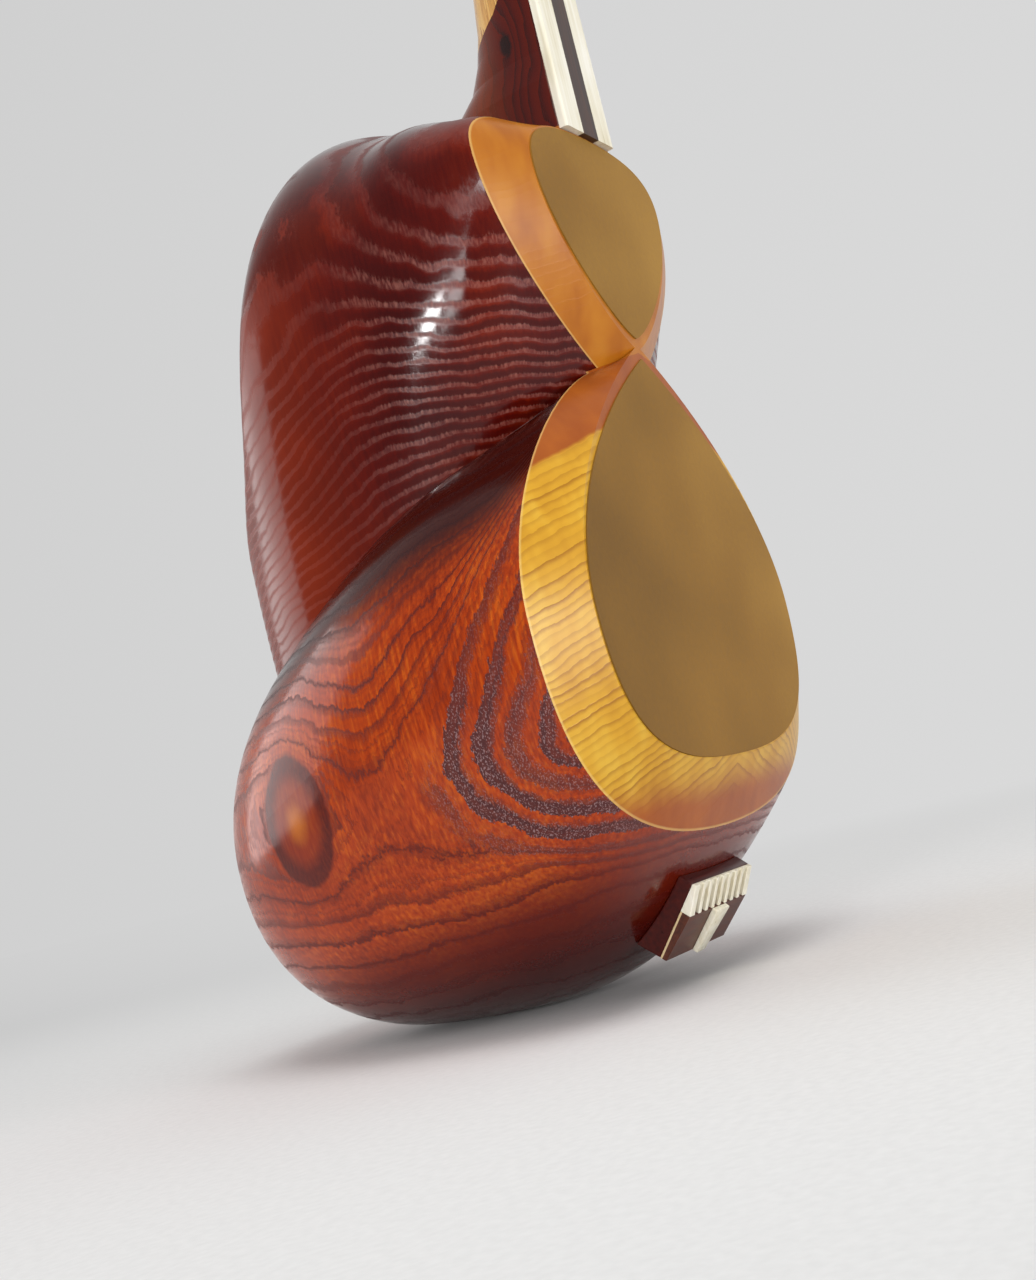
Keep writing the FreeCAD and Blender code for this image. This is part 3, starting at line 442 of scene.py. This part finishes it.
# the rim: natural wood, yellow along the lower skin, orange at the waist and
# the foot, amber round the upper skin
rim_late = linear(140, 86, 12)
rim_edge_highlight = linear(218, 184, 112)
rim_ring_gap = 3.1
is_high = (height + side * 0.26) > waist
rim_edge = rim_depth_low - is_high * (rim_depth_low - rim_depth_high)
rim = 1 - (depth > rim_edge)
rim_count = (height + side * 0.34) / rim_ring_gap + sway * 1.3 + fray * 0.1
rim_line = rings(rim_count, 0.35, 0.95, 0.8)
flame = mulberry.noise(11.0, 2.0, (1, 1, 2.2)) * 0.6
rim_gold = (flame * 1.4 + 0.5).tones(
    (0.2, linear(208, 168, 60)), (0.55, linear(194, 144, 34)), (0.85, linear(174, 120, 20)))
rim_gold = mulberry.mix(rim_line * 0.85, rim_gold, rim_late)
rim_amber = (flame * 1.6 + 0.5).tones(
    (0.15, linear(186, 120, 28)), (0.55, linear(168, 98, 16)), (0.9, linear(142, 72, 10)))
rim_orange = (flame * 1.2 + 0.5).tones((0.2, linear(166, 88, 18)), (0.8, linear(132, 58, 8)))
join = height + side * 0.35 + sway * 3.0
rim_foot = 1 - (height + sway * 5.0).rise(-58.0, -44.0)
rim_wood = mulberry.mix(join.rise(90.0, 92.0), rim_gold, rim_orange)
rim_wood = mulberry.mix(is_high, rim_wood, rim_amber)
rim_wood = mulberry.mix(rim_foot * (1 - is_high), rim_wood, rim_orange)
# painted highlight: a fine pale line along the rim's outer edge and along its edge by the skin
edge_highlight = (rim_edge - depth).most(0.0)
edge_highlight = (1 - edge_highlight.rise(0.2, 0.5)).most(1 - depth.rise(0.3, 0.6)) * rim
rim_wood = mulberry.mix(edge_highlight * 0.45, rim_wood, rim_edge_highlight)

# both bowls and the rim together; a slight swell in the relief of the upper
# bowl rounds the highlight of the small soft box
swell_depth = 40.0
swell_height = 124.0
swell_relief = 4.5
is_upper = over_crease.rise(-1.2, 0.4)
colour = mulberry.mix(rim, mulberry.mix(is_upper, low_wood, high_wood), rim_wood)
swell = (height - swell_height).squared() + (depth - swell_depth).squared() * 0.4
swell = (swell * -0.0005).exp() * is_upper
grainy = (figure * (1 - is_upper) + (pore_line * 0.9) * is_upper) * (1 - rim)
roughness = 0.13 + grainy * 0.3 + fray * 0.08 + rim * 0.2
relief = (fray * (0.25 + grainy) + rim_line * rim * 0.3) * 0.06 + swell * (1 - rim) * swell_relief
lacquered = mulberry.surface({
    "Base Color": colour, "Roughness": roughness, "Specular IOR Level": 0.28,
    "Normal": mulberry.bump(relief, 1.0)})
for bowl in ("bowl_left", "bowl_right"):
    dress(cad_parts[bowl], lacquered)

# ------------------------------------------------------------------ skins
# A thin lamb membrane, stretched damp over each opening and glued on the flat
# of the rim. It is matt, olive gold, a little cloudy, paler up and to the right.
membrane = Finish("stretched_skin")
cloud = membrane.noise(60.0, 1.0)
fibre = membrane.noise(2.4, 4.0, (1, 1, 1), 0.6)
tint = cloud * 0.7 + fibre * 0.22 + membrane.z * 0.0012 + membrane.x * 0.0022 + 0.42
hide = tint.tones(
    (0.15, linear(106, 74, 21)), (0.5, linear(132, 94, 31)), (0.85, linear(157, 117, 47)))
follicle = membrane.node("ShaderNodeTexVoronoi", {}, {"Vector": membrane.place, "Scale": 0.9},
                         "Distance")
follicle_brown = linear(96, 72, 28)
hide = membrane.mix((1 - follicle.rise(0.05, 0.25)) * 0.12, hide, follicle_brown)
skin_finish = membrane.surface({
    "Base Color": hide, "Roughness": 0.6 + fibre * 0.12, "Specular IOR Level": 0.25,
    "Normal": membrane.bump(fibre + follicle * 0.3, 0.05)})
for skin in ("lower_skin", "upper_skin"):
    dress(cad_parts[skin], skin_finish)

# ------------------------------------------------------------------- neck
# The heel is dark red wood let into the upper bowl; a light mulberry shaft is
# scarfed to it and carries the fingerboard. Both are lacquered.
heel = Finish("dark_heel_wood")
heel_knot_depth = 15.0
heel_knot_height = 231.0
heel_foot_top = 192.4
heel_back = linear(136, 58, 16)
heel_knot_black = linear(24, 12, 12)
heel_foot_gold = linear(196, 120, 34)
knot_off = ((heel.y - heel_knot_depth).squared()
            + (heel.z - heel_knot_height).squared() * 0.3).root()
heel_turn = (knot_off * -0.14).exp()
heel_grain = (heel.y * 0.22 + heel.noise(6.0, 3.0, (1, 1, 8)) * 1.5 + heel.noise(24.0) * 2.2
              + heel_turn * 2.6)
heel_line = heel_grain.fract()
heel_light = heel.y.rise(14.0, 34.0)
heel_colour = heel_line.tones(
    (0.0, linear(84, 18, 6)), (0.6, linear(74, 13, 6)), (1.0, linear(52, 9, 6)))
heel_colour = heel.mix(heel_light * 0.5, heel_colour, heel_back)
knot_core = 1 - (knot_off + heel.noise(2.0) * 1.6).rise(1.6, 3.4)
heel_colour = heel.mix(knot_core * 0.9, heel_colour, heel_knot_black)
heel_foot = (1 - heel.z.rise(heel_foot_top, heel_foot_top + 0.6)) * (1 - heel.y.rise(16.0, 20.0))
heel_colour = heel.mix(heel_foot * 0.6, heel_colour, heel_foot_gold)
heel_pores = heel.noise(0.5, 2.0, (1, 1, 6))
dress(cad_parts["neck_heel"], heel.surface({
    "Base Color": heel_colour, "Roughness": 0.2 + heel_line * 0.08 + heel_pores * 0.1,
    "Specular IOR Level": 0.25, "Coat Weight": 0.35, "Coat Roughness": 0.06, "Coat IOR": 1.4,
    "Normal": heel.bump(heel_pores, 0.04)}))

shaft = Finish("light_shaft_wood")
shaft_grain = shaft.noise(3.4, 3.0, (1, 1, 26)) * 2.0 + shaft.noise(24.0, 1.0, (1, 1, 5))
shaft_line = (shaft_grain * 2.5).fract()
shaft_colour = shaft_line.tones(
    (0.0, linear(222, 178, 104)), (0.6, linear(204, 152, 78)), (1.0, linear(168, 112, 50)))
shaft_pores = shaft.noise(0.5, 2.0, (1, 1, 8))
dress(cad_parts["neck_shaft"], shaft.surface({
    "Base Color": shaft_colour, "Roughness": 0.26 + shaft_line * 0.08, "Specular IOR Level": 0.35,
    "Coat Weight": 0.5, "Coat Roughness": 0.1, "Normal": shaft.bump(shaft_pores, 0.04)}))

# ------------------------------------------------------------ fingerboard
# Two strips of camel bone with a dark wood strip between them, glued flat on
# the neck. The nut and the plate on the head's end are bone too, their edges
# worn round.
bone = Finish("camel_bone")
bone_streak = bone.noise(1.6, 3.0, (1, 1, 22))
bone_cloud = bone.noise(26.0, 2.0)
bone_tint = bone_streak * 0.9 + bone_cloud * 0.8 + 0.5
bone_colour = bone_tint.tones(
    (0.2, linear(208, 198, 168)), (0.5, linear(226, 220, 200)), (0.8, linear(236, 232, 220)))
bone_finish = bone.surface({
    "Base Color": bone_colour, "Roughness": 0.3 + bone_streak * 0.12,
    "Normal": bone.bump(bone_streak, 0.03)})
for strip in ("bone_strip_left", "bone_strip_right"):
    dress(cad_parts[strip], bone_finish)


def eased(node, material, softness):
    """A copy of a node, its sharp edges worn round by softness in millimetres, in its place."""
    weld_distance = 0.000005
    flat_angle = 0.01
    sharp_angle = 0.6
    worn = bmesh.new()
    worn.from_mesh(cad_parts[node].data)
    bmesh.ops.remove_doubles(worn, verts=worn.verts, dist=weld_distance)
    bmesh.ops.dissolve_limit(worn, verts=worn.verts, edges=worn.edges, angle_limit=flat_angle)
    sharp = [edge for edge in worn.edges
             if edge.is_manifold and edge.calc_face_angle() > sharp_angle]
    bmesh.ops.bevel(worn, geom=sharp, offset=softness * millimetre, offset_type="OFFSET",
                    segments=2, profile=0.5, affect="EDGES", clamp_overlap=True, material=-1)
    made = bpy.data.meshes.new(node + "_eased")
    worn.to_mesh(made)
    worn.free()
    piece = placed(node + "_eased", made)
    dress(piece, material)
    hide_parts(node)
    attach(piece, "body")


for bone_part in ("nut", "head_cap"):
    eased(bone_part, bone_finish, 0.25)

dark = Finish("dark_walnut")
dark_grain = dark.noise(1.3, 3.0, (1, 1, 24)) + dark.noise(14.0, 1.0, (1, 1, 4)) * 0.6
dark_colour = (dark_grain + 0.5).tones(
    (0.2, linear(30, 17, 14)), (0.5, linear(50, 29, 22)), (0.8, linear(74, 44, 32)))
dark_finish = dark.surface({
    "Base Color": dark_colour, "Roughness": 0.34 + dark_grain * 0.15, "Specular IOR Level": 0.4,
    "Normal": dark.bump(dark_grain, 0.05)})
dress(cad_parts["fingerboard_middle"], dark_finish)

# -------------------------------------------------------------- tailpiece
# A stained block glued under the lower bowl carries a dark plate, a grooved
# bone comb that parts the strings, and a bone tongue that holds their loops.
stain = Finish("stained_block")
block_grain = stain.noise(1.6, 3.0, (9, 1, 1)) + 0.5
block_colour = block_grain.tones(
    (0.25, linear(48, 8, 6)), (0.6, linear(66, 14, 8)), (0.9, linear(84, 24, 12)))
block_finish = stain.surface({
    "Base Color": block_colour, "Roughness": 0.24 + block_grain * 0.14, "Specular IOR Level": 0.2,
    "Normal": stain.bump(block_grain, 0.04)})
eased("tail_block", block_finish, 0.4)

# the plate is red brown, with a thin pale lining glued under it; the lining is
# found by the distance across the sloped plate
lined = Finish("lined_plate")
across_plate = (0.771, 0.637)
lining_plane = -39.37
lining_thickness = 0.9
lining_pale = linear(206, 182, 140)
behind = lined.y * across_plate[0] + lined.z * across_plate[1] - lining_plane + lining_thickness
plate_grain = lined.noise(1.2, 3.0, (9, 1, 1)) + 0.5
plate_colour = plate_grain.tones(
    (0.2, linear(58, 24, 14)), (0.6, linear(84, 38, 22)), (0.9, linear(104, 52, 30)))
plate_colour = lined.mix(behind.rise(-0.05, 0.05), plate_colour, lining_pale)
plate_finish = lined.surface({
    "Base Color": plate_colour, "Roughness": 0.3 + plate_grain * 0.14, "Specular IOR Level": 0.35,
    "Normal": lined.bump(plate_grain, 0.04)})
eased("tail_plate", plate_finish, 0.3)
eased("tail_comb", bone_finish, 0.35)
eased("tail_tongue", bone_finish, 0.4)

# ------------------------------------------------------------------- head
# The pegbox is carved walnut with an open front and six turned pegs of dark
# rosewood, each a push fit in its two tapered holes.
walnut = Finish("head_walnut")
walnut_grain = walnut.x * 0.11 + walnut.y * 0.16 + walnut.noise(5.0, 2.0, (1, 1, 16)) * 1.6
walnut_line = (walnut_grain + walnut.noise(22.0) * 1.2).fract()
walnut_streak = walnut.noise(0.8, 3.0, (1, 1, 14))
walnut_line = walnut_line.rise(0.1, 0.85) * (1 - walnut_line.rise(0.88, 1.0)) * 0.8
walnut_line = walnut_line + walnut_streak * 0.5
walnut_colour = walnut_line.tones(
    (0.0, linear(122, 70, 38)), (0.5, linear(98, 52, 28)), (1.0, linear(64, 33, 20)))
dress(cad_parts["pegbox"], walnut.surface({
    "Base Color": walnut_colour, "Roughness": 0.24 + walnut_line * 0.1, "Specular IOR Level": 0.35,
    "Coat Weight": 0.5, "Coat Roughness": 0.1,
    "Normal": walnut.bump(walnut.noise(0.5, 2.0, (1, 1, 8)), 0.05)}))

rosewood = Finish("peg_rosewood")
peg_grain = rosewood.noise(1.4, 3.0, (12, 1, 1)) + rosewood.noise(9.0, 1.0, (4, 1, 1)) * 0.7
peg_colour = (peg_grain + 0.5).tones(
    (0.2, linear(40, 18, 14)), (0.5, linear(72, 32, 22)), (0.8, linear(104, 50, 32)))
peg_finish = rosewood.surface({
    "Base Color": peg_colour, "Roughness": 0.26 + peg_grain * 0.12, "Specular IOR Level": 0.4,
    "Normal": rosewood.bump(peg_grain, 0.04)})
peg_count = 6
for number in range(1, peg_count + 1):
    dress(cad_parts["peg_%d" % number], peg_finish)

# ------------------------------------------------------------------ frets
# Each fret is a length of gut wound four times round the neck and tied at the
# side with a small knot, so that it can be pushed along for tuning.
gut = Finish("tied_gut")
gut_tint = gut.noise(2.0, 2.0) + 0.5
gut_colour = gut_tint.tones((0.2, linear(190, 152, 96)), (0.8, linear(222, 192, 140)))
gut_finish = gut.surface({
    "Base Color": gut_colour, "Roughness": 0.36 + gut_tint * 0.1,
    "Normal": gut.bump(gut.noise(0.3), 0.02)})
fret_count = 22
fret_turns = 4
rows_per_turn = 4
turn_dip = 0.00034
knot_thread = 0.00032
knot_path = ((0, 7.4, 1.9), (-0.35, 8.6, 0.9), (-0.75, 9.4, -0.2), (-0.35, 10.2, -1.0),
             (-0.1, 9.4, -1.4), (-0.5, 8.5, -0.7), (-0.8, 9.0, 0.5), (-0.3, 10.0, 1.2),
             (-0.1, 10.8, 0.4), (-0.6, 9.9, -0.4), (-0.7, 8.7, 0.2), (-0.3, 8.0, -0.9),
             (-0.1, 7.2, -1.9))


def wound_fret(node):
    """The band of a fret, its outer side rounded over each turn of the gut."""
    weld_distance = 0.00001
    cut_distance = 0.000001
    least_outward = 0.2
    band = bmesh.new()
    band.from_mesh(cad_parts[node].data)
    bmesh.ops.remove_doubles(band, verts=band.verts, dist=weld_distance)
    low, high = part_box(node)
    rows = fret_turns * rows_per_turn
    for row in range(1, rows):
        level = low[2] + (high[2] - low[2]) * row / rows
        bmesh.ops.bisect_plane(band, geom=band.verts[:] + band.edges[:] + band.faces[:],
                               dist=cut_distance, plane_co=(0, 0, level), plane_no=(0, 0, 1))
    middle = Vector(((low[0] + high[0]) / 2, (low[1] + high[1]) / 2, 0.0))
    band.normal_update()
    for vertex in band.verts:
        outward = Vector((vertex.normal.x, vertex.normal.y, 0.0))
        across = Vector((vertex.co.x, vertex.co.y, 0.0)) - middle
        turn = (vertex.co.z - low[2]) / (high[2] - low[2]) * fret_turns % 1.0
        if outward.length > least_outward and outward.dot(across) > 0:
            dip = abs(min(turn, 1 - turn) * 2 - 1) ** 2 * turn_dip
            vertex.co -= outward.normalized() * dip
    made = bpy.data.meshes.new("wound_" + node)
    band.to_mesh(made)
    band.free()
    for face in made.polygons:
        face.use_smooth = True
    return placed("wound_" + node, made)


def tied_knot(node):
    """The overhand knot of a fret, with its two short ends."""
    low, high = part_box(node)
    path = bpy.data.curves.new("knot_" + node, "CURVE")
    path.dimensions = "3D"
    path.bevel_depth = knot_thread
    path.bevel_resolution = 1
    path.resolution_u = 2
    path.use_fill_caps = True
    line = path.splines.new("NURBS")
    line.points.add(len(knot_path) - 1)
    for point, (out, deep, up) in zip(line.points, knot_path):
        point.co = (low[0] - knot_thread + out * millimetre, deep * millimetre,
                    (low[2] + high[2]) / 2 + up * millimetre, 1.0)
    line.order_u = 3
    line.use_endpoint_u = True
    drawn = placed("knot_line", path)
    bpy.context.view_layer.update()
    settled = drawn.evaluated_get(bpy.context.evaluated_depsgraph_get())
    made = bpy.data.meshes.new_from_object(settled)
    bpy.data.objects.remove(drawn)
    made.name = "knot_" + node
    return placed("knot_" + node, made)


for number in range(1, fret_count + 1):
    fret = "fret_%02d" % number
    winding = wound_fret(fret)
    knot = tied_knot(fret)
    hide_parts(fret)
    for piece in (winding, knot):
        dress(piece, gut_finish)
        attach(piece, fret)
